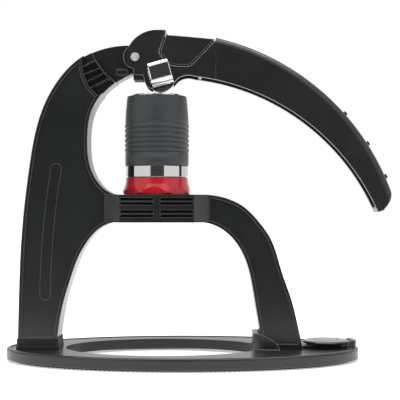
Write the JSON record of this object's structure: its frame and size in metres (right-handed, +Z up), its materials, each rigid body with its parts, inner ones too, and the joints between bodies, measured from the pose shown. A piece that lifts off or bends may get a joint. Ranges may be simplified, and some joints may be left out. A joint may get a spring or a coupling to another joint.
{
  "type": "hand lever coffee press",
  "caption": "Hand lever press for coffee with an oval cast base, a one-piece arched frame, a long curved lever, a chrome yoke, a ribbed brewing head and a lock knob.",
  "frame": {"origin": "on the table under the middle of the whole press", "axes": "+X from the column towards the lever's free end, +Y to the back, +Z up"},
  "size_m": [0.302, 0.15, 0.2586],
  "materials": {
    "cast_black": "satin black powder coat on cast aluminium",
    "lever_black": "satin black powder coat on cast aluminium",
    "saddle_black": "fine matt moulded black plastic",
    "knob_black": "satin black coat on turned aluminium",
    "black_rubber": "matt black rubber",
    "seal_rubber": "smooth black seal rubber",
    "grey_silicone": "matt dark grey silicone",
    "red_plastic": "glossy red moulded plastic",
    "polished_steel": "polished stainless steel",
    "plain_steel": "fine turned stainless steel",
    "chrome": "bright chrome plate",
    "brass": "turned brass",
    "bush_plastic": "off-white bearing plastic"
  },
  "bodies": {
    "frame": {"base_ring": "cast_black", "rubber_foot_ring": "black_rubber", "rear_shoe": "black_rubber", "frame_casting": "cast_black", "knob_insert": "brass", "pivot_bushes": "bush_plastic", "portafilter_holder": "red_plastic", "portafilter_basket": "plain_steel", "basket_gasket": "seal_rubber", "dispersion_screen": "plain_steel", "screen_seal": "seal_rubber", "brew_cylinder": "polished_steel", "silicone_sleeve": "grey_silicone", "cylinder_cap": "polished_steel"},
    "lever": {"lever_arm": "lever_black", "lever_saddle": "saddle_black", "grip_studs": "black_rubber", "lever_stop": "black_rubber", "pivot_pin": "plain_steel", "pivot_clip": "plain_steel"},
    "yoke": {"yoke_plates": "chrome", "yoke_foot": "chrome", "yoke_pin": "chrome"},
    "plunger": {"piston": "plain_steel", "piston_seals": "seal_rubber", "plunger_stem": "polished_steel", "plunger_button": "polished_steel"},
    "washer": {"knob_washer": "plain_steel"},
    "knob": {"lock_knob": "knob_black", "knob_stud": "plain_steel"}
  },
  "joints": [
    {"name": "lever_swing", "type": "hinge", "parent": "frame", "child": "lever", "pos_m": [-0.0494, 0, 0.2373], "axis": [0, -1, 0], "range_deg": [0, 85]},
    {"name": "yoke_tilt", "type": "hinge", "parent": "lever", "child": "yoke", "pos_m": [-0.0298, 0, 0.2224], "axis": [0, -1, 0], "range_deg": [-85.5, 0]},
    {"name": "plunger_slide", "type": "slide", "parent": "frame", "child": "plunger", "axis": [0, 0, 1], "range_m": [0, 0.0216]},
    {"name": "washer_rise", "type": "slide", "parent": "frame", "child": "washer", "axis": [0, 0, 1], "range_m": [0, 0.00376]},
    {"name": "knob_turn", "type": "hinge", "parent": "washer", "child": "knob", "pos_m": [0.1007, 0, 0.012], "axis": [0, 0, 1], "range_deg": [0, 1080]}
  ],
  "couplings": [
    {"joint": "yoke_tilt", "follows": "lever_swing", "ratio": -1},
    {"joint": "plunger_slide", "follows": "lever_swing", "m_per_rad": 0.0145},
    {"joint": "washer_rise", "follows": "knob_turn", "m_per_rad": 0.00019894}
  ]
}
